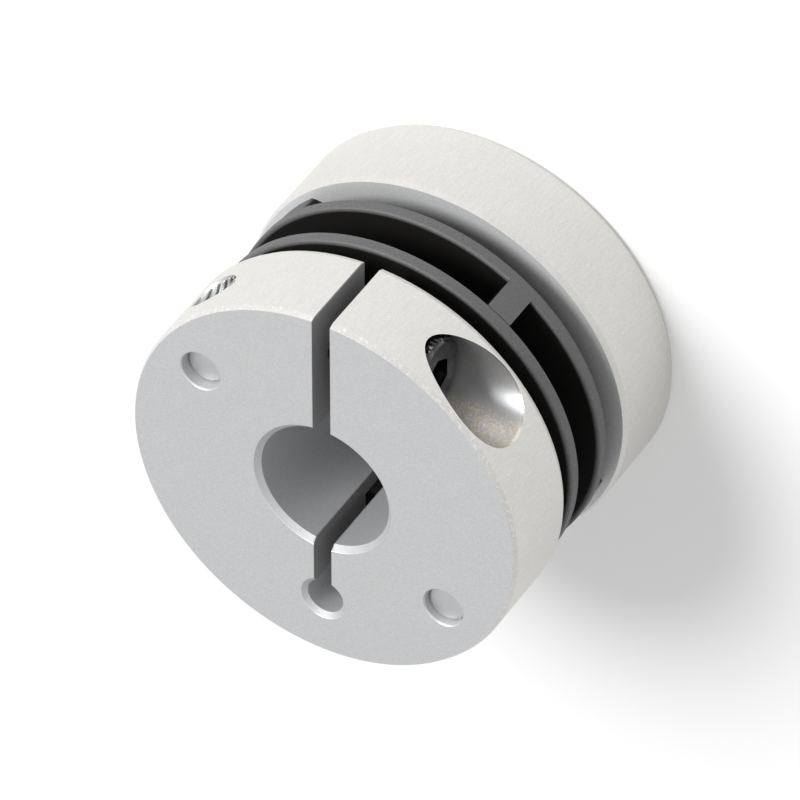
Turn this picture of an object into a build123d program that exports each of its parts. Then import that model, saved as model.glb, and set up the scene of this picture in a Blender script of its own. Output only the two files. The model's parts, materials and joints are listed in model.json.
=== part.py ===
from build123d import *
import os

# Twin disc coupling.  Two identical split hubs clamp the ends of two shafts, and a pair of
# identical plastic discs between them carries the torque and bends to take up misalignment.
# Each disc is held to its hub by two pins through thick pads, and to the other disc by two
# posts a quarter turn away from the pins.
#
# Frame: millimetres, Z along the shaft axis, the rear hub's outer face on Z = 0, the front
# hub above it, and the front hub's clamp slot opening towards +Y.

# ---------------------------------------------------------------- driving dimensions

# Hubs: turned and slotted aluminium
hub_diameter = 30.0
hub_length = 7.0
bore_diameter = 10.0
bore_chamfer = 0.4
rim_break_radial = 0.2
rim_break_axial = 0.4
slot_width = 1.4

# Relief hole that ends the slot and leaves the hinge of the clamp
relief_diameter = 2.8
relief_chamfer = 0.35
hinge_web = 3.5

# Clamp screw: M3 socket head cap screw
screw_diameter = 3.0
screw_length = 12.0
screw_head_diameter = 5.5
screw_head_height = 3.0
screw_head_chamfer = 0.25
screw_tip_chamfer = 0.4
socket_across_flats = 2.5
socket_depth = 1.5
screw_inset = 4.4
clamp_grip = 3.3
screw_hole_clearance = 0.2
thread_clearance = 0.02
counterbore_clearance = 0.3

# Pins that tie each disc to its hub
pin_diameter = 3.0
pin_inset = 3.5
pin_angle = 145.5
pin_recess_a = 0.85
pin_recess_b = 0.6
pin_end_gap = 0.05
pin_end_chamfer = 0.15
pin_hole_chamfer = 0.1
pin_fit = 0.01

# Discs: moulded plastic
disc_thickness = 1.0
disc_inset = 0.5
disc_bore_clearance = 2.0
disc_edge_break = 0.1
pad_diameter = 8.0
pad_height = 1.7
pad_step = 0.2

# Posts between the discs
post_width = 2.0
post_depth = 2.4
post_length = 2.9
post_end_break = 0.06
peg_diameter = 1.2
peg_length = 0.6
peg_end_gap = 0.05
peg_fit = 0.01

# ---------------------------------------------------------------- derived sizes

hub_radius = hub_diameter / 2
bore_radius = bore_diameter / 2
relief_radius = relief_diameter / 2
screw_radius = screw_diameter / 2
screw_head_radius = screw_head_diameter / 2
pin_radius = pin_diameter / 2

disc_radius = hub_radius - disc_inset
disc_bore_radius = bore_radius + disc_bore_clearance
pad_reach = disc_radius - pad_step
post_angle = pin_angle + 90
socket_corner_radius = socket_across_flats / 3**0.5

# Stations along Z, from the middle of the coupling to the front face
middle = hub_length + pad_height + disc_thickness + post_length / 2
disc_back = middle + post_length / 2
disc_front = disc_back + disc_thickness
hub_back = disc_front + pad_height
hub_front = hub_back + hub_length

# Places in the plan of the front hub
relief_offset = hub_radius - hinge_web - relief_radius
pin_pitch_radius = hub_radius - pin_inset
screw_offset = hub_radius - screw_inset
screw_seat = slot_width / 2 + clamp_grip
screw_height = hub_back + hub_length / 2

# Fits
screw_hole_radius = screw_radius + screw_hole_clearance
tapped_hole_radius = screw_radius + thread_clearance
counterbore_radius = screw_head_radius + counterbore_clearance
pin_hole_radius = pin_radius + pin_fit
pin_length = hub_length + pad_height + disc_thickness - pin_recess_a - pin_end_gap
peg_radius = peg_diameter / 2
peg_hole_radius = peg_radius + peg_fit
peg_hole_depth = peg_length + peg_end_gap

# The clamp screw lies along X, square to the slot, half way up the hub
screw_plane = Plane(origin=(0, screw_offset, screw_height), x_dir=(0, 1, 0), z_dir=(1, 0, 0))

# Every rear piece is its front twin, turned half a turn about the line through the pins
pin_direction = Vector(1, 0, 0).rotate(Axis.Z, pin_angle)
turnover_axis = Axis(Vector(0, 0, middle), pin_direction)

# ---------------------------------------------------------------- front hub

with BuildPart() as front_hub:
    # Turned blank: half section with the bore's lead-ins and the broken rim edges
    with BuildSketch(Plane.XZ) as hub_section:
        with BuildLine() as hub_outline:
            Polyline(
                (bore_radius + bore_chamfer, hub_back),
                (hub_radius - rim_break_radial, hub_back),
                (hub_radius, hub_back + rim_break_axial),
                (hub_radius, hub_front - rim_break_axial),
                (hub_radius - rim_break_radial, hub_front),
                (bore_radius + bore_chamfer, hub_front),
                (bore_radius, hub_front - bore_chamfer),
                (bore_radius, hub_back + bore_chamfer),
                close=True,
            )
        make_face()
    revolve(axis=Axis.Z)

    # Relief hole, countersunk on the outer face
    with Locations(Plane.XY.offset(hub_front)):
        with Locations((0, -relief_offset)):
            CounterSinkHole(relief_radius, relief_radius + relief_chamfer, counter_sink_angle=90)

    # Pin holes
    with Locations(Plane.XY.offset(hub_front)):
        with PolarLocations(pin_pitch_radius, 2, start_angle=pin_angle):
            CounterSinkHole(pin_hole_radius, pin_hole_radius + pin_hole_chamfer, counter_sink_angle=90)

    # Counterbored clearance hole in one jaw, tapped hole in the other
    with Locations(screw_plane.offset(hub_radius)):
        CounterBoreHole(screw_hole_radius, counterbore_radius, hub_radius - screw_seat, depth=hub_radius)
    with Locations(screw_plane):
        Hole(tapped_hole_radius, depth=hub_radius)

    # Clamp slot, from the rim through the bore to the relief hole
    with BuildSketch(Plane.XY.offset(hub_front)) as slot_outline:
        with Locations((0, (hub_radius - relief_offset) / 2)):
            Rectangle(slot_width, hub_radius + relief_offset)
    extrude(amount=-hub_length, mode=Mode.SUBTRACT)

# ---------------------------------------------------------------- front clamp screw

with BuildPart() as front_clamp_screw:
    # Head, standing on its seat in the counterbore
    with BuildSketch(screw_plane.offset(screw_seat)) as head_outline:
        Circle(screw_head_radius)
    extrude(amount=screw_head_height)
    chamfer(front_clamp_screw.edges().sort_by(Axis.X)[-1], screw_head_chamfer)

    # Shank, with a chamfered tip
    with BuildSketch(screw_plane.offset(screw_seat)) as shank_outline:
        Circle(screw_radius)
    extrude(amount=-screw_length)
    chamfer(front_clamp_screw.edges().sort_by(Axis.X)[0], screw_tip_chamfer)

    # Hexagon socket
    with BuildSketch(screw_plane.offset(screw_seat + screw_head_height)) as socket_outline:
        RegularPolygon(socket_corner_radius, 6)
    extrude(amount=-socket_depth, mode=Mode.SUBTRACT)

# ---------------------------------------------------------------- front pins

with BuildPart() as front_pin_a:
    with BuildSketch(Plane.XY.offset(hub_front - pin_recess_a)) as pin_a_outline:
        with PolarLocations(pin_pitch_radius, 1, start_angle=pin_angle):
            Circle(pin_radius)
    extrude(amount=-pin_length)
    chamfer(front_pin_a.edges().filter_by(GeomType.CIRCLE), pin_end_chamfer)

with BuildPart() as front_pin_b:
    with BuildSketch(Plane.XY.offset(hub_front - pin_recess_b)) as pin_b_outline:
        with PolarLocations(pin_pitch_radius, 1, start_angle=pin_angle + 180):
            Circle(pin_radius)
    extrude(amount=-pin_length)
    chamfer(front_pin_b.edges().filter_by(GeomType.CIRCLE), pin_end_chamfer)

# ---------------------------------------------------------------- front disc

with BuildPart() as front_disc:
    # Flexing ring, with broken rim edges
    with BuildSketch(Plane.XZ) as disc_section:
        with BuildLine() as disc_outline:
            Polyline(
                (disc_bore_radius, disc_back),
                (disc_radius - disc_edge_break, disc_back),
                (disc_radius, disc_back + disc_edge_break),
                (disc_radius, disc_front - disc_edge_break),
                (disc_radius - disc_edge_break, disc_front),
                (disc_bore_radius, disc_front),
                close=True,
            )
        make_face()
    revolve(axis=Axis.Z)

    # Round pads around the pins, trimmed just inside the rim, that seat on the hub
    with BuildSketch(Plane.XY.offset(disc_front)) as pad_outline:
        with PolarLocations(pin_pitch_radius, 2, start_angle=pin_angle):
            Circle(pad_diameter / 2)
        Circle(pad_reach, mode=Mode.INTERSECT)
    extrude(amount=pad_height)

    # Post towards the rear disc, flush with the rim, and the peg on its end
    with BuildSketch(Plane.XY.offset(disc_back + disc_edge_break)) as post_outline:
        with PolarLocations(disc_radius - post_depth / 2, 1, start_angle=post_angle):
            Rectangle(post_depth, post_width)
        Circle(disc_radius, mode=Mode.INTERSECT)
    extrude(amount=-post_length - disc_edge_break)
    post_end_edges = front_disc.faces().sort_by(Axis.Z)[0].edges()
    chamfer(post_end_edges, post_end_break)
    with BuildSketch(Plane.XY.offset(disc_back - post_length)) as peg_outline:
        with PolarLocations(disc_radius - post_depth / 2, 1, start_angle=post_angle):
            Circle(peg_radius)
    extrude(amount=-peg_length)

    # Holes through the pads for the pins
    with Locations(Plane.XY.offset(hub_back)):
        with PolarLocations(pin_pitch_radius, 2, start_angle=pin_angle):
            Hole(pin_hole_radius, depth=pad_height + disc_thickness)

    # Blind hole in the back face for the peg of the rear disc's post
    with BuildSketch(Plane.XY.offset(disc_back)) as peg_hole_outline:
        with PolarLocations(disc_radius - post_depth / 2, 1, start_angle=post_angle + 180):
            Circle(peg_hole_radius)
    extrude(amount=peg_hole_depth, mode=Mode.SUBTRACT)

# ---------------------------------------------------------------- rear pieces

with BuildPart() as rear_hub:
    add(front_hub.part.rotate(turnover_axis, 180))

with BuildPart() as rear_clamp_screw:
    add(front_clamp_screw.part.rotate(turnover_axis, 180))

with BuildPart() as rear_pin_a:
    add(front_pin_a.part.rotate(turnover_axis, 180))

with BuildPart() as rear_pin_b:
    add(front_pin_b.part.rotate(turnover_axis, 180))

with BuildPart() as rear_disc:
    add(front_disc.part.rotate(turnover_axis, 180))

# ---------------------------------------------------------------- labels and files

front_hub.part.label = "front_hub"
rear_hub.part.label = "rear_hub"
front_clamp_screw.part.label = "front_clamp_screw"
rear_clamp_screw.part.label = "rear_clamp_screw"
front_pin_a.part.label = "front_pin_a"
front_pin_b.part.label = "front_pin_b"
rear_pin_a.part.label = "rear_pin_a"
rear_pin_b.part.label = "rear_pin_b"
front_disc.part.label = "front_disc"
rear_disc.part.label = "rear_disc"

os.makedirs("parts", exist_ok=True)
export_step(front_hub.part, "parts/front_hub.step")
export_step(rear_hub.part, "parts/rear_hub.step")
export_step(front_clamp_screw.part, "parts/front_clamp_screw.step")
export_step(rear_clamp_screw.part, "parts/rear_clamp_screw.step")
export_step(front_pin_a.part, "parts/front_pin_a.step")
export_step(front_pin_b.part, "parts/front_pin_b.step")
export_step(rear_pin_a.part, "parts/rear_pin_a.step")
export_step(rear_pin_b.part, "parts/rear_pin_b.step")
export_step(front_disc.part, "parts/front_disc.step")
export_step(rear_disc.part, "parts/rear_disc.step")
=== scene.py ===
"""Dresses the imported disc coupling: two clear anodised clamp hubs on a pair of dark moulded discs.

The hubs, pins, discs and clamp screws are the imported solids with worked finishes.  Made here are
the slotted sleeves by which the hubs reach in through the discs, and the threads of the tapped holes.
The screws' own threads and knurls are relief in their finish.  Every rear piece is its front twin,
turned half a turn about the line through the pins.
"""

from __future__ import annotations

import json
import logging
import math
from dataclasses import dataclass, field
from enum import Enum

import bmesh
import bpy
from mathutils import Euler, Matrix, Vector


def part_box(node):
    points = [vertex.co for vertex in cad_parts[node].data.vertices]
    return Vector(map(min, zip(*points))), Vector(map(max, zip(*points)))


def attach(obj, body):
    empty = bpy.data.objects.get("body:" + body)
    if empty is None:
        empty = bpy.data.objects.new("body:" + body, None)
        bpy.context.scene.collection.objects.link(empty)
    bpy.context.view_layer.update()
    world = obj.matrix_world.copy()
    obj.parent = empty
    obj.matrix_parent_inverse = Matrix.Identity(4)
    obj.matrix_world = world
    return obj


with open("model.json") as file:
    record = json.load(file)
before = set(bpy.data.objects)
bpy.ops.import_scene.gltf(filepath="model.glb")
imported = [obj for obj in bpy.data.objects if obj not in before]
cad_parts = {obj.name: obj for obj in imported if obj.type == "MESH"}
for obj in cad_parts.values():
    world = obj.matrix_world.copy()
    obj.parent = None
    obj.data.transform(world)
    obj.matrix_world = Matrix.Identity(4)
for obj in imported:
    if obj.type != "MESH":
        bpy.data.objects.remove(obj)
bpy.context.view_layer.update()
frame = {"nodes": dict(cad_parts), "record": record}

MM = 0.001
BODY = "root"

Colour = tuple[float, float, float, float]
Span = tuple[float, float]
Feed = "float | tuple | bool | bpy.types.NodeSocket"

log = logging.getLogger("coupling")


class Slot(Enum):
    """The record's material slots."""

    HUB = "hub_anodised"
    DISC = "disc_moulding"
    PIN = "pin_steel"
    SCREW = "screw_black"


class End(Enum):
    """The two ends of the coupling."""

    FRONT = "front"
    REAR = "rear"


# ------------------------------------------------------------------ node trees


class Wiring:
    """Adds and joins the nodes of one shader or geometry tree."""

    def __init__(self, tree: bpy.types.NodeTree) -> None:
        """Takes the tree to work in.

        Args:
            tree: an empty shader or geometry node tree.
        """
        self.tree = tree

    def feed(self, socket: bpy.types.NodeSocket, value: Feed) -> None:
        """Joins a socket to an output, or sets it.

        Args:
            socket: the input socket.
            value: an output socket, or a plain value.
        """
        if isinstance(value, bpy.types.NodeSocket):
            self.tree.links.new(value, socket)
        else:
            socket.default_value = value

    def node(self, kind: str, inputs: dict | None = None, **settings: object) -> bpy.types.Node:
        """Adds a node.

        Args:
            kind: Blender's name of the node's type.
            inputs: values or output sockets by input name or number.
            settings: properties of the node itself.

        Returns:
            The node.
        """
        made = self.tree.nodes.new(kind)
        for name, value in settings.items():
            setattr(made, name, value)
        for key, value in (inputs or {}).items():
            self.feed(made.inputs[key], value)
        return made

    def sum(self, operation: str, *values: Feed, clamp: bool = False) -> bpy.types.NodeSocket:
        """Adds a Math node.

        Args:
            operation: Blender's name of the operation.
            values: the operands.
            clamp: whether the result stays between 0 and 1.

        Returns:
            The result's socket.
        """
        inputs = dict(enumerate(values))
        return self.node("ShaderNodeMath", inputs, operation=operation, use_clamp=clamp).outputs[0]

    def times(self, first: Feed, second: Feed) -> bpy.types.NodeSocket:
        """The product of two values, and so the overlap of two masks."""
        return self.sum("MULTIPLY", first, second)

    def step(self, value: Feed, low: float, high: float) -> bpy.types.NodeSocket:
        """A smooth step from 0 at low to 1 at high, or back down where low is above high.

        Args:
            value: what is measured.
            low: where the step starts.
            high: where it ends.

        Returns:
            The step's socket.
        """
        inputs = {"Value": value, "From Min": low, "From Max": high}
        return self.node("ShaderNodeMapRange", inputs, interpolation_type="SMOOTHSTEP").outputs[0]

    def fade(self, value: Feed, edge: float, span: Span) -> bpy.types.NodeSocket:
        """A smooth step near an edge, from the span's first distance to its second."""
        return self.step(value, edge + span[0], edge + span[1])

    def spread(self, value: Feed, low: float, high: float) -> bpy.types.NodeSocket:
        """Maps a value of 0 to 1 onto low to high.

        Args:
            value: the value.
            low: the result for 0.
            high: the result for 1.

        Returns:
            The mapped value's socket.
        """
        inputs = {"Value": value, "To Min": low, "To Max": high}
        return self.node("ShaderNodeMapRange", inputs).outputs[0]

    def blend(self, share: Feed, first: Feed, second: Feed) -> bpy.types.NodeSocket:
        """Mixes two colours.

        Args:
            share: how much of the second colour shows.
            first: the colour at 0.
            second: the colour at 1.

        Returns:
            The mixed colour's socket.
        """
        mix = self.node("ShaderNodeMix", data_type="RGBA")
        self.feed(mix.inputs[0], share)
        self.feed(mix.inputs[6], first)
        self.feed(mix.inputs[7], second)
        return mix.outputs[2]

    def noise(self, where: Feed, scale: float, detail: float = 2.0) -> bpy.types.NodeSocket:
        """Adds a noise pattern of 0 to 1.

        Args:
            where: the coordinates.
            scale: how fine the pattern is.
            detail: how many finer layers it has.

        Returns:
            The pattern's socket.
        """
        inputs = {"Vector": where, "Scale": scale, "Detail": detail}
        return self.node("ShaderNodeTexNoise", inputs).outputs[0]


class Sheet(Wiring):
    """The wiring of one material, with its pattern coordinates in millimetres."""

    def __init__(self, name: str, placement: Placement | None = None) -> None:
        """Starts a material with a Principled surface.

        Args:
            name: the material's name.
            placement: the half turn that brings a rear piece onto its front twin, if any.
        """
        self.material = bpy.data.materials.new(name)
        self.material.use_nodes = True
        super().__init__(self.material.node_tree)
        self.tree.nodes.clear()
        self.surface = self.node("ShaderNodeBsdfPrincipled")
        self.output = self.node("ShaderNodeOutputMaterial", {"Surface": self.surface.outputs[0]})
        turn = placement.turn if placement else Euler()
        shift = placement.shift if placement else Vector()
        source = self.node("ShaderNodeTexCoord").outputs["Object"]
        mapping = {"Vector": source, "Location": shift / MM, "Rotation": turn, "Scale": (1 / MM,) * 3}
        self.place = self.node("ShaderNodeMapping", mapping).outputs[0]
        self.x, self.y, self.z = self.node("ShaderNodeSeparateXYZ", {0: self.place}).outputs
        self.radius = self.sum("SQRT", self.sum("ADD", self.square(self.x), self.square(self.y)))

    def square(self, value: Feed) -> bpy.types.NodeSocket:
        """The square of a value."""
        return self.times(value, value)

    def off_screw(self, plan: Plan) -> tuple[bpy.types.NodeSocket, ...]:
        """Measures from the axis of the clamp screw.

        Args:
            plan: the places of the coupling.

        Returns:
            The offsets along Y and Z and the distance from the axis, in millimetres.
        """
        off_y = self.sum("SUBTRACT", self.y, plan.screw_y / MM)
        off_z = self.sum("SUBTRACT", self.z, plan.screw_z / MM)
        return off_y, off_z, self.sum("SQRT", self.sum("ADD", self.square(off_y), self.square(off_z)))

    def scaled(self, colour: Feed, shade: Feed) -> bpy.types.NodeSocket:
        """A colour made lighter or darker."""
        return self.node("ShaderNodeVectorMath", {0: colour, 3: shade}, operation="SCALE").outputs[0]

    def set(self, **values: Feed) -> None:
        """Sets or joins inputs of the Principled surface, with underscores for spaces."""
        for name, value in values.items():
            self.feed(self.surface.inputs[name.replace("_", " ")], value)

    def relief(self, height: Feed, depth: float) -> None:
        """Gives the surface a relief.

        Args:
            height: the pattern of 0 to 1.
            depth: how deep the pattern is, in metres.
        """
        bump = self.node("ShaderNodeBump", {"Height": height, "Distance": depth, "Strength": 1.0})
        self.set(Normal=bump.outputs[0])


class Pattern(Wiring):
    """A geometry tree with named inputs, for what repeats."""

    def __init__(self, name: str, sizes: dict[str, float]) -> None:
        """Starts a geometry tree.

        Args:
            name: the tree's name.
            sizes: the tree's inputs by name, with their values.
        """
        group = bpy.data.node_groups.new(name, "GeometryNodeTree")
        super().__init__(group)
        group.interface.new_socket("Geometry", in_out="OUTPUT", socket_type="NodeSocketGeometry")
        self.values = {}
        for label, value in sizes.items():
            socket = group.interface.new_socket(label, in_out="INPUT", socket_type="NodeSocketFloat")
            self.values[socket.identifier] = value
        self.sizes = self.node("NodeGroupInput").outputs

    def grow(self, geometry: bpy.types.NodeSocket, material: bpy.types.Material) -> bpy.types.Mesh:
        """Ends the tree and turns what it makes into a plain mesh.

        Args:
            geometry: the finished geometry.
            material: its finish.

        Returns:
            The mesh.
        """
        real = self.node("GeometryNodeRealizeInstances", {0: geometry}).outputs[0]
        dressed = self.node("GeometryNodeSetMaterial", {"Geometry": real, "Material": material})
        self.node("NodeGroupOutput", {0: dressed.outputs[0]})
        carrier = bpy.data.objects.new(self.tree.name, bpy.data.meshes.new(self.tree.name))
        bpy.context.scene.collection.objects.link(carrier)
        modifier = carrier.modifiers.new("grow", "NODES")
        modifier.node_group = self.tree
        for identifier, value in self.values.items():
            modifier[identifier] = value
        graph = bpy.context.evaluated_depsgraph_get()
        mesh = bpy.data.meshes.new_from_object(carrier.evaluated_get(graph))
        carrier.modifiers.remove(modifier)
        bpy.data.objects.remove(carrier)
        return mesh


# ------------------------------------------------------------------ places


@dataclass(frozen=True)
class Placement:
    """Brings front pieces to the rear: half a turn about the line through the pins."""

    bearing: float
    middle: float

    @property
    def turn(self) -> Euler:
        """The half turn, as a turn about X and then about Z."""
        return Euler((math.pi, 0.0, 2 * self.bearing))

    @property
    def shift(self) -> Vector:
        """The shift that follows the turn."""
        return Vector((0.0, 0.0, 2 * self.middle))

    @property
    def matrix(self) -> Matrix:
        """Turn and shift together."""
        return Matrix.Translation(self.shift) @ self.turn.to_matrix().to_4x4()


@dataclass(frozen=True)
class Plan:
    """Sizes and places that the pieces share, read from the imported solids, in metres."""

    hub_radius: float
    front_face: float
    hub_back: float
    bore_radius: float
    screw_y: float
    screw_z: float
    screw_tip: float
    head_face: float
    head_radius: float
    turnover: Placement

    @classmethod
    def from_frame(cls) -> Plan:
        """Reads the plan.

        Returns:
            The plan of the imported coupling.
        """
        hub_low, hub_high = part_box("front_hub")
        screw_low, screw_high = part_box("front_clamp_screw")
        pin_low, pin_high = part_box("front_pin_a")
        pin = (pin_low + pin_high) / 2
        mounts = {mount["name"]: mount for mount in frame["record"]["mounts"]}
        return cls(
            hub_radius=hub_high.x,
            front_face=hub_high.z,
            hub_back=hub_low.z,
            bore_radius=mounts["front_bore"]["dims"]["r_mm"] * MM,
            screw_y=(screw_low.y + screw_high.y) / 2,
            screw_z=(screw_low.z + screw_high.z) / 2,
            screw_tip=screw_low.x,
            head_face=screw_high.x,
            head_radius=(screw_high.z - screw_low.z) / 2,
            turnover=Placement(math.atan2(pin.y, pin.x), hub_high.z / 2),
        )

    def placement(self, end: End) -> Placement | None:
        """The half turn for a rear piece, and None for a front one."""
        return self.turnover if end is End.REAR else None


# ------------------------------------------------------------------ finishes


@dataclass(frozen=True)
class Zones:
    """Where each kind of hub surface lies, as masks of 0 to 1."""

    on_rim: bpy.types.NodeSocket
    on_edge: bpy.types.NodeSocket
    inner_face: bpy.types.NodeSocket
    inside: bpy.types.NodeSocket
    in_pocket: bpy.types.NodeSocket
    in_slot: bpy.types.NodeSocket
    # where a warm reflection is painted in the screw pocket
    in_warm_reflection: bpy.types.NodeSocket


@dataclass(frozen=True)
class AnodisedAluminium:
    """Clear anodised aluminium: blasted end faces, a drawn rim, bored holes and a slot cut by a saw, with
    painted shade on the slot walls and a painted warm reflection low in each screw pocket.

    Lengths are in millimetres.  A span gives two distances from an edge, or two levels of a pattern,
    between which a mask rises from 0 to 1.
    """

    plan: Plan
    sleeve_radius: float
    half_slot: float
    face: Colour = (0.84, 0.845, 0.855, 1.0)
    rim: Colour = (0.70, 0.69, 0.668, 1.0)
    bored: Colour = (0.56, 0.565, 0.575, 1.0)
    # slot wall colour: the cut metal, darkened with painted shade of the deep narrow slot
    sawn_and_slot_shade: Colour = (0.36, 0.36, 0.365, 1.0)
    # painted reflection: warm colour low in the screw pocket, where the wall would mirror the floor
    warm_reflection: Colour = (0.85, 0.72, 0.55, 1.0)
    slot_end: float = -8.9
    counterbore_radius: float = 3.05
    seat: float = 4.0
    edge_break: float = 0.4
    rim_span: Span = (-0.24, -0.16)
    inner_face_span: Span = (0.03, 0.01)
    outer_face_span: Span = (-0.03, -0.01)
    sleeve_span: Span = (0.05, 0.1)
    pocket_span: Span = (0.05, 0.02)
    seat_span: Span = (-0.1, 0.0)
    edge_span: Span = (-0.05, 0.0)
    slot_span: Span = (0.1, 0.05)
    slot_end_span: Span = (-0.05, 0.0)
    reflection_height: Span = (-1.9, -1.1)
    # where the painted warm reflection lies in the pocket, with its speckle and relief
    reflection_side: Span = (0.2, -0.4)
    reflection_speckle_scale: float = 6.0
    reflection_speckle_levels: Span = (0.46, 0.58)
    reflection_share: float = 0.85
    reflection_speckle_relief: float = 1.5
    grain_scale: float = 9.0
    grain_shade: Span = (0.82, 1.16)
    grain_depth: float = 5e-6
    line_scale: float = 5.0
    line_stretch: float = 0.12
    line_shade: Span = (-0.08, 0.08)
    cloud_scale: float = 0.35
    cloud_shade: Span = (-0.015, 0.015)
    nick_scale: float = 4.0
    nick_levels: Span = (0.52, 0.68)
    nick_gain: float = 0.2
    roughness: Span = (0.42, 0.46)
    bored_roughening: float = 0.2
    pocket_smoothing: float = 0.2
    metal: Span = (0.88, 0.6)
    bored_haze: float = 0.38
    pocket_clearing: float = 0.3

    def material(self, end: End) -> bpy.types.Material:
        """Makes the finish for one hub.

        Args:
            end: which hub.

        Returns:
            The material.
        """
        sheet = Sheet(f"anodised_{end.value}", self.plan.placement(end))
        zones = self.zones(sheet)
        grain = sheet.noise(sheet.place, self.grain_scale, 3.0)
        lines = sheet.times(self.lines(sheet), zones.on_rim)
        # painted warm reflection, speckled, low in the screw pocket; the same speckle also drives a relief
        reflection_speckle = sheet.step(sheet.noise(sheet.place, self.reflection_speckle_scale, 3.0), *self.reflection_speckle_levels)
        reflection_speckle = sheet.times(sheet.times(zones.in_warm_reflection, reflection_speckle), self.reflection_share)

        colour = sheet.blend(zones.on_rim, self.face, self.rim)
        colour = sheet.blend(zones.inside, colour, self.bored)
        # painted shade on the slot walls
        colour = sheet.blend(zones.in_slot, colour, self.sawn_and_slot_shade)
        colour = sheet.blend(reflection_speckle, colour, self.warm_reflection)
        rough = sheet.spread(zones.on_rim, *self.roughness)
        rough = sheet.sum("ADD", rough, sheet.times(zones.inside, self.bored_roughening))
        rough = sheet.sum("SUBTRACT", rough, sheet.times(zones.in_pocket, self.pocket_smoothing))
        milky = sheet.sum("ADD", zones.inside, zones.inner_face, clamp=True)
        metal = sheet.spread(zones.on_rim, *self.metal)
        metal = sheet.sum("SUBTRACT", metal, sheet.times(milky, self.bored_haze))
        metal = sheet.sum("ADD", metal, sheet.times(zones.in_pocket, self.pocket_clearing))
        shade = self.shade(sheet, zones, grain, lines)
        sheet.set(Base_Color=sheet.scaled(colour, shade), Metallic=metal, Roughness=rough)

        outside = sheet.sum("SUBTRACT", 1.0, zones.in_pocket)
        height = sheet.times(sheet.sum("ADD", grain, lines), outside)
        height = sheet.sum("ADD", height, sheet.times(reflection_speckle, self.reflection_speckle_relief))
        sheet.relief(height, self.grain_depth)
        return sheet.material

    def zones(self, sheet: Sheet) -> Zones:
        """Finds the kinds of surface by place.

        Args:
            sheet: the material's wiring.

        Returns:
            The masks.
        """
        plan = self.plan
        on_rim = sheet.fade(sheet.radius, plan.hub_radius / MM, self.rim_span)
        low = sheet.fade(sheet.z, plan.hub_back / MM, self.inner_face_span)
        high = sheet.fade(sheet.z, plan.front_face / MM, self.outer_face_span)
        past_sleeve = sheet.fade(sheet.radius, self.sleeve_radius, self.sleeve_span)
        inner_face = sheet.times(low, past_sleeve)
        on_face = sheet.sum("ADD", inner_face, high, clamp=True)
        inside = sheet.sum("SUBTRACT", 1.0, sheet.sum("ADD", on_rim, on_face, clamp=True))

        off_y, off_z, off_axis = sheet.off_screw(plan)
        near = sheet.fade(off_axis, self.counterbore_radius, self.pocket_span)
        in_pocket = sheet.times(near, sheet.fade(sheet.x, self.seat, self.seat_span))
        # the part of the pocket wall that would mirror the warm floor: painted reflection
        reflection_zone = sheet.times(sheet.step(off_z, *self.reflection_height), sheet.step(off_y, *self.reflection_side))

        by_slot = sheet.fade(sheet.sum("ABSOLUTE", sheet.x), self.half_slot, self.slot_span)
        by_slot = sheet.times(by_slot, sheet.fade(sheet.y, self.slot_end, self.slot_end_span))
        edge = sheet.fade(sheet.z, plan.front_face / MM - self.edge_break, self.edge_span)
        return Zones(
            on_rim=on_rim,
            on_edge=sheet.times(edge, on_rim),
            inner_face=inner_face,
            inside=inside,
            in_pocket=in_pocket,
            in_slot=sheet.times(by_slot, inside),
            in_warm_reflection=sheet.times(in_pocket, reflection_zone),
        )

    def lines(self, sheet: Sheet) -> bpy.types.NodeSocket:
        """The fine lines drawn along the rim.

        Args:
            sheet: the material's wiring.

        Returns:
            The pattern's socket.
        """
        around = sheet.times(sheet.sum("ARCTAN2", sheet.y, sheet.x), self.plan.hub_radius / MM)
        along = sheet.times(sheet.z, self.line_stretch)
        place = sheet.node("ShaderNodeCombineXYZ", {0: around, 1: along, 2: 0.0}).outputs[0]
        return sheet.noise(place, self.line_scale, 3.0)

    def shade(self, sheet: Sheet, zones: Zones, grain: Feed, lines: Feed) -> bpy.types.NodeSocket:
        """How much lighter or darker than its colour each place is.

        Args:
            sheet: the material's wiring.
            zones: the kinds of surface.
            grain: the blasted grain.
            lines: the drawn lines.

        Returns:
            The factor's socket.
        """
        shade = sheet.spread(grain, *self.grain_shade)
        shade = sheet.sum("ADD", shade, sheet.spread(lines, *self.line_shade))
        cloud = sheet.noise(sheet.place, self.cloud_scale, 2.0)
        shade = sheet.sum("ADD", shade, sheet.spread(cloud, *self.cloud_shade))
        nicks = sheet.step(sheet.noise(sheet.place, self.nick_scale, 4.0), *self.nick_levels)
        return sheet.sum("ADD", shade, sheet.times(sheet.times(nicks, zones.on_edge), self.nick_gain))


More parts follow.
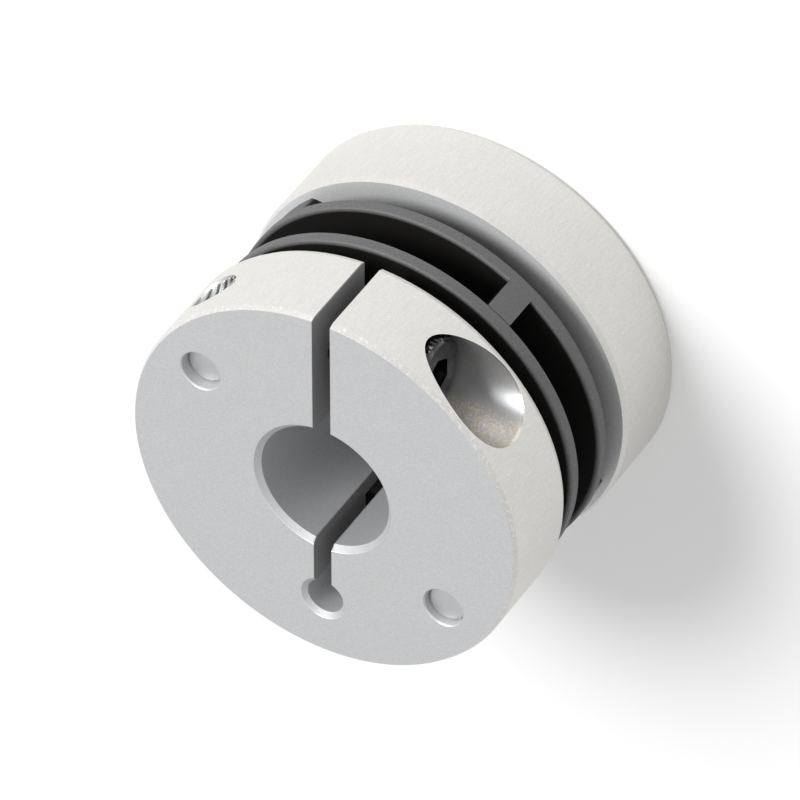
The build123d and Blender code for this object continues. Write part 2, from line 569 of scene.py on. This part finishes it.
@dataclass(frozen=True)
class MouldedPlastic:
    """Glass-filled plastic: grey on its rim, and near black inside, where painted shade stands in for the
    light that does not reach, a little lighter near the axis.
    """

    colour: Colour = (0.105, 0.104, 0.107, 1.0)
    fleck: Colour = (0.17, 0.169, 0.173, 1.0)
    # near black painted shade for the inner faces behind the rims
    painted_shade: Colour = (0.008, 0.0075, 0.007, 1.0)
    core: Colour = (0.06, 0.06, 0.062, 1.0)
    core_radius: float = 8.0
    core_span: Span = (0.0, -0.5)
    rim_over_shade_span: Span = (14.1, 14.35)
    specular: Span = (0.08, 0.5)
    roughness: Span = (0.55, 0.68)
    grain_scale: float = 7.0
    grain_depth: float = 6e-6
    fleck_scale: float = 11.0
    fleck_levels: Span = (0.5, 0.75)

    def material(self, end: End) -> bpy.types.Material:
        """Makes the finish for one disc.

        Args:
            end: which disc.

        Returns:
            The material.
        """
        sheet = Sheet(f"moulded_{end.value}")
        grain = sheet.noise(sheet.place, self.grain_scale, 3.0)
        flecks = sheet.step(sheet.noise(sheet.place, self.fleck_scale, 2.0), *self.fleck_levels)
        # 1 on the rim, falling to 0 inside, where painted shade is laid
        rim_over_shade = sheet.step(sheet.radius, *self.rim_over_shade_span)
        grey = sheet.blend(flecks, self.colour, self.fleck)
        in_core = sheet.fade(sheet.radius, self.core_radius, self.core_span)
        # painted shade inside, a little lighter near the axis
        inner = sheet.blend(in_core, self.painted_shade, self.core)
        sheet.set(Base_Color=sheet.blend(rim_over_shade, inner, grey))
        sheet.set(Specular_IOR_Level=sheet.spread(rim_over_shade, *self.specular))
        sheet.set(Roughness=sheet.spread(grain, *self.roughness))
        sheet.relief(grain, self.grain_depth)
        return sheet.material


@dataclass(frozen=True)
class GroundSteel:
    """Light grey steel of the pins, ground across their ends."""

    colour: Colour = (0.76, 0.765, 0.775, 1.0)
    grain_scale: float = 10.0
    grain_shade: Span = (0.92, 1.05)
    grain_depth: float = 3e-6
    roughness: Span = (0.38, 0.46)

    def material(self, name: str) -> bpy.types.Material:
        """Makes the finish for one pin.

        Args:
            name: the pin's name.

        Returns:
            The material.
        """
        sheet = Sheet(f"ground_{name}")
        grain = sheet.noise(sheet.place, self.grain_scale, 3.0)
        tinted = sheet.scaled(self.colour[:3], sheet.spread(grain, *self.grain_shade))
        sheet.set(Base_Color=tinted, Metallic=1.0, Roughness=sheet.spread(grain, *self.roughness))
        sheet.relief(grain, self.grain_depth)
        return sheet.material


@dataclass(frozen=True)
class BlackOxide:
    """Black oxide on a steel screw: a rolled thread, a knurled head and lighter worn patches."""

    plan: Plan
    colour: Colour = (0.07, 0.07, 0.072, 1.0)
    worn: Colour = (0.20, 0.195, 0.19, 1.0)
    pitch: float = 0.5
    shank_radius: float = 1.5
    knurls: int = 40
    depth: float = 3e-4
    shank_span: Span = (0.1, 0.05)
    below_head_span: Span = (-3.0, -3.1)
    side_span: Span = (-0.1, -0.05)
    wear_scale: float = 1.3
    wear_levels: Span = (0.45, 0.8)
    roughness: Span = (0.32, 0.45)

    def material(self, end: End) -> bpy.types.Material:
        """Makes the finish for one screw.

        Args:
            end: which screw.

        Returns:
            The material.
        """
        sheet = Sheet(f"black_oxide_{end.value}", self.plan.placement(end))
        off_y, off_z, off_axis = sheet.off_screw(self.plan)
        turns = sheet.sum("DIVIDE", sheet.sum("ARCTAN2", off_z, off_y), math.tau)
        on_shank = sheet.fade(off_axis, self.shank_radius, self.shank_span)
        below_head = sheet.fade(sheet.x, self.plan.head_face / MM, self.below_head_span)
        winding = sheet.sum("ADD", sheet.sum("DIVIDE", sheet.x, self.pitch), turns)
        thread = sheet.times(sheet.sum("PINGPONG", winding, 0.5), sheet.times(on_shank, below_head))
        on_side = sheet.fade(off_axis, self.plan.head_radius / MM, self.side_span)
        knurl = sheet.times(sheet.sum("PINGPONG", sheet.times(turns, self.knurls), 0.5), on_side)
        wear = sheet.step(sheet.noise(sheet.place, self.wear_scale, 4.0), *self.wear_levels)
        sheet.set(Base_Color=sheet.blend(wear, self.colour, self.worn), Metallic=1.0)
        sheet.set(Roughness=sheet.spread(wear, *self.roughness))
        sheet.relief(sheet.sum("ADD", thread, knurl), self.depth)
        return sheet.material


# ------------------------------------------------------------------ pieces


def dress(node: str, material: bpy.types.Material) -> None:
    """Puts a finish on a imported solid.

    Args:
        node: the solid's name.
        material: its finish.
    """
    for slot in frame["nodes"][node].material_slots:
        slot.material = material
    log.info("%s wears %s", node, material.name)


def settle(name: str, mesh: bpy.types.Mesh, plan: Plan, end: End) -> None:
    """Makes a piece of its own from a mesh that is modelled at the front.

    Args:
        name: the piece's name.
        mesh: its mesh, with its finish.
        plan: the places of the coupling.
        end: the end where the piece sits.
    """
    if end is End.REAR:
        mesh.transform(plan.turnover.matrix)
    piece = bpy.data.objects.new(name, mesh)
    bpy.context.scene.collection.objects.link(piece)
    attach(piece, BODY)
    log.info("%s made, %d faces", name, len(mesh.polygons))


@dataclass
class Hubs:
    """The two clamp hubs, each with its inner sleeve and the thread of its tapped hole."""

    plan: Plan
    sleeve_radius: float = 6.3 * MM
    sleeve_length: float = 3.4 * MM
    lead_in: float = 0.4 * MM
    slot_width: float = 1.4 * MM
    sleeve_steps: int = 96
    pitch: float = 0.5 * MM
    thread_turns: float = 8.0
    thread_radius: float = 1.38 * MM
    thread_height: float = 0.13 * MM
    thread_start: float = 0.2 * MM
    thread_under_rim: float = 0.17 * MM
    thread_steps: int = 48
    sharp_from: float = math.radians(30.0)

    def build(self) -> None:
        """Dresses both hubs and makes their sleeves and threads."""
        finish = AnodisedAluminium(self.plan, self.sleeve_radius / MM, self.slot_width / 2 / MM)
        for end in End:
            material = finish.material(end)
            dress(f"{end.value}_hub", material)
            settle(f"{end.value}_hub_sleeve", self.sleeve(material), self.plan, end)
            settle(f"{end.value}_hub_thread", self.thread(material), self.plan, end)

    def sleeve(self, material: bpy.types.Material) -> bpy.types.Mesh:
        """The front hub's sleeve, split by the clamp slot into two halves.

        Args:
            material: the hub's finish.

        Returns:
            The mesh.
        """
        bore, back = self.plan.bore_radius, self.plan.hub_back
        profile = [
            (bore, back + self.lead_in),
            (bore + self.lead_in, back),
            (self.sleeve_radius, back),
            (self.sleeve_radius, back - self.sleeve_length),
            (bore, back - self.sleeve_length),
        ]
        work = bmesh.new()
        for side in (1.0, -1.0):
            rings = [self.section(work, profile, side, step) for step in range(self.sleeve_steps + 1)]
            for ring, following in zip(rings, rings[1:]):
                for index in range(len(profile)):
                    after = (index + 1) % len(profile)
                    work.faces.new((ring[index], ring[after], following[after], following[index]))
            work.faces.new(rings[0])
            work.faces.new(rings[-1])
        bmesh.ops.recalc_face_normals(work, faces=work.faces)
        mesh = bpy.data.meshes.new("hub_sleeve")
        work.to_mesh(mesh)
        work.free()
        mesh.polygons.foreach_set("use_smooth", [True] * len(mesh.polygons))
        mesh.set_sharp_from_angle(angle=self.sharp_from)
        mesh.materials.append(material)
        return mesh

    def section(self, work: bmesh.types.BMesh, profile: list, side: float, step: int) -> list:
        """One cross-section of a sleeve's half, with its ends flat along the clamp slot.

        Args:
            work: the mesh in the making.
            profile: the half section, as radius and height.
            side: 1 for the half towards +X, and -1 for the other.
            step: how many steps round from the slot.

        Returns:
            The section's corners.
        """
        ring = []
        for radius, height in profile:
            edge = math.asin(self.slot_width / 2 / radius)
            turn = edge + (math.pi - 2 * edge) * step / self.sleeve_steps
            ring.append(work.verts.new((side * radius * math.sin(turn), radius * math.cos(turn), height)))
        return ring

    def thread(self, material: bpy.types.Material) -> bpy.types.Mesh:
        """The thread of the tapped hole, from the screw's tip out to the rim.

        Args:
            material: the hub's finish.

        Returns:
            The mesh.
        """
        sizes = {
            "Turns": self.thread_turns,
            "Radius": self.thread_radius,
            "Length": self.thread_turns * self.pitch,
            "Ridge": self.thread_height,
        }
        wiring = Pattern("tapped_thread", sizes)
        given = wiring.sizes
        winding = wiring.node(
            "GeometryNodeCurveSpiral",
            {
                "Resolution": self.thread_steps,
                "Rotations": given["Turns"],
                "Start Radius": given["Radius"],
                "End Radius": given["Radius"],
                "Height": given["Length"],
            },
        )
        level = wiring.node("GeometryNodeSetCurveNormal", {"Curve": winding.outputs[0]})
        ridge = wiring.node("GeometryNodeCurvePrimitiveCircle", {"Resolution": 4, "Radius": given["Ridge"]})
        swept = wiring.node(
            "GeometryNodeCurveToMesh",
            {"Curve": level.outputs[0], "Profile Curve": ridge.outputs[0], "Fill Caps": True},
        )
        start = (self.plan.screw_tip - self.thread_start, self.plan.screw_y, self.plan.screw_z)
        laid = wiring.node(
            "GeometryNodeTransform",
            {"Geometry": swept.outputs[0], "Translation": start, "Rotation": (0.0, -math.pi / 2, 0.0)},
        )
        mesh = wiring.grow(laid.outputs[0], material)
        self.trim(mesh)
        return mesh

    def trim(self, mesh: bpy.types.Mesh) -> None:
        """Cuts the thread off flat, just under the rim, and closes the cuts.

        Args:
            mesh: the thread.
        """
        across = -math.sqrt(self.plan.hub_radius**2 - self.plan.screw_y**2)
        outward = Vector((across, self.plan.screw_y, 0.0)).normalized()
        work = bmesh.new()
        work.from_mesh(mesh)
        everything = work.verts[:] + work.edges[:] + work.faces[:]
        under = outward * (self.plan.hub_radius - self.thread_under_rim)
        bmesh.ops.bisect_plane(work, geom=everything, plane_co=under, plane_no=outward, clear_outer=True)
        cut = [edge for edge in work.edges if len(edge.link_faces) == 1]
        bmesh.ops.holes_fill(work, edges=cut, sides=0)
        bmesh.ops.recalc_face_normals(work, faces=work.faces)
        work.to_mesh(mesh)
        work.free()


@dataclass
class Discs:
    """The twin mouldings between the hubs."""

    def build(self) -> None:
        """Dresses both discs."""
        finish = MouldedPlastic()
        for end in End:
            dress(f"{end.value}_disc", finish.material(end))


@dataclass
class Pins:
    """The four pins that tie the discs to the hubs."""

    letters: tuple[str, str] = ("a", "b")

    def build(self) -> None:
        """Dresses every pin."""
        finish = GroundSteel()
        for end in End:
            for letter in self.letters:
                name = f"{end.value}_pin_{letter}"
                dress(name, finish.material(name))


@dataclass
class ClampScrews:
    """The two clamp screws."""

    plan: Plan

    def build(self) -> None:
        """Dresses both screws."""
        finish = BlackOxide(self.plan)
        for end in End:
            dress(f"{end.value}_clamp_screw", finish.material(end))


# ------------------------------------------------------------------ studio


@dataclass(frozen=True)
class Lamp:
    """A soft box that faces the coupling: angles in degrees, lengths in metres, power in watts."""

    name: str
    bearing: float
    height: float
    distance: float
    size: float
    power: float


@dataclass
class Studio:
    """Pale floor, soft boxes, sky and camera."""

    lamps: tuple[Lamp, ...] = (
        Lamp("key", bearing=127.0, height=53.0, distance=0.60, size=0.30, power=3.4),
        Lamp("fill", bearing=27.0, height=49.0, distance=0.70, size=0.30, power=0.4),
    )
    floor_size: float = 6.0
    floor_colour: Colour = (0.66, 0.66, 0.66, 1.0)
    floor_glow: float = 0.18
    sky_strength: float = 0.74
    lens: float = 373.12
    aim: Vector = field(default_factory=lambda: Vector((-0.13, -0.27, 11.51)) * MM)
    bearing: float = math.radians(60.78)
    height: float = math.radians(40.24)
    roll: float = math.radians(139.11)
    distance: float = 568.12 * MM

    def build(self) -> None:
        """Builds the floor, the light and the camera."""
        self.floor()
        self.sky()
        for lamp in self.lamps:
            self.lamp(lamp)
        self.camera()
        view = bpy.context.scene.view_settings
        view.view_transform = "Standard"

    def toward(self, bearing: float, height: float) -> Vector:
        """The direction of a bearing and a height.

        Args:
            bearing: the angle from +X about +Z, in radians.
            height: the angle above the floor, in radians.

        Returns:
            The unit vector.
        """
        flat = math.cos(height)
        return Vector((flat * math.cos(bearing), flat * math.sin(bearing), math.sin(height)))

    def floor(self) -> None:
        """Lays the floor under the rear hub."""
        half = self.floor_size / 2
        mesh = bpy.data.meshes.new("floor")
        corners = [(-half, -half, 0.0), (half, -half, 0.0), (half, half, 0.0), (-half, half, 0.0)]
        mesh.from_pydata(corners, [], [(0, 1, 2, 3)])
        floor = bpy.data.objects.new("floor", mesh)
        bpy.context.scene.collection.objects.link(floor)
        mesh.materials.append(self.floor_finish())

    def floor_finish(self) -> bpy.types.Material:
        """A pale floor that shows white to the eye, in metal and through glass.

        Returns:
            The material.
        """
        material = bpy.data.materials.new("pale_floor")
        material.use_nodes = True
        wiring = Wiring(material.node_tree)
        wiring.tree.nodes.clear()
        paths = wiring.node("ShaderNodeLightPath").outputs
        seen = wiring.sum("ADD", paths["Is Camera Ray"], paths["Is Glossy Ray"])
        seen = wiring.sum("ADD", seen, paths["Is Transmission Ray"], clamp=True)
        matt = wiring.node("ShaderNodeBsdfDiffuse", {"Color": self.floor_colour})
        glow = wiring.node("ShaderNodeEmission", {"Strength": wiring.sum("MULTIPLY", seen, self.floor_glow)})
        both = wiring.node("ShaderNodeAddShader", {0: matt.outputs[0], 1: glow.outputs[0]})
        wiring.node("ShaderNodeOutputMaterial", {"Surface": both.outputs[0]})
        return material

    def sky(self) -> None:
        """Lights everything evenly from above."""
        world = bpy.data.worlds.new("sky")
        world.use_nodes = True
        bpy.context.scene.world = world
        wiring = Wiring(world.node_tree)
        wiring.tree.nodes.clear()
        back = wiring.node("ShaderNodeBackground", {"Strength": self.sky_strength})
        wiring.node("ShaderNodeOutputWorld", {"Surface": back.outputs[0]})

    def lamp(self, lamp: Lamp) -> None:
        """Hangs one soft box.

        Args:
            lamp: the soft box.
        """
        light = bpy.data.lights.new(lamp.name, "AREA")
        light.shape = "DISK"
        light.size = lamp.size
        light.energy = lamp.power
        box = bpy.data.objects.new(lamp.name, light)
        direction = self.toward(math.radians(lamp.bearing), math.radians(lamp.height))
        box.location = direction * lamp.distance
        box.rotation_euler = direction.to_track_quat("Z", "Y").to_euler()
        bpy.context.scene.collection.objects.link(box)

    def camera(self) -> None:
        """Sets the camera."""
        lens = bpy.data.cameras.new("camera")
        lens.lens = self.lens
        camera = bpy.data.objects.new("camera", lens)
        back = self.toward(self.bearing, self.height)
        right = Vector((0.0, 0.0, 1.0)).cross(back).normalized()
        upright = Matrix((right, back.cross(right), back)).transposed()
        turned = upright @ Matrix.Rotation(-self.roll, 3, "Z")
        camera.matrix_world = Matrix.Translation(self.aim + back * self.distance) @ turned.to_4x4()
        bpy.context.scene.collection.objects.link(camera)
        bpy.context.scene.camera = camera


# ------------------------------------------------------------------ run


def corners(bounds: tuple) -> list:
    """A box as plain lists of numbers."""
    return [[float(value) for value in corner] for corner in bounds]


def main() -> None:
    """Builds the pieces in order, then the studio, and logs each as it is built."""
    logging.basicConfig(level=logging.INFO, format="%(message)s")
    plan = Plan.from_frame()
    for part in (Hubs(plan), Discs(), Pins(), ClampScrews(plan), Studio()):
        part.build()
        log.info("%s built", type(part).__name__)


if __name__ == "__main__":
    main()
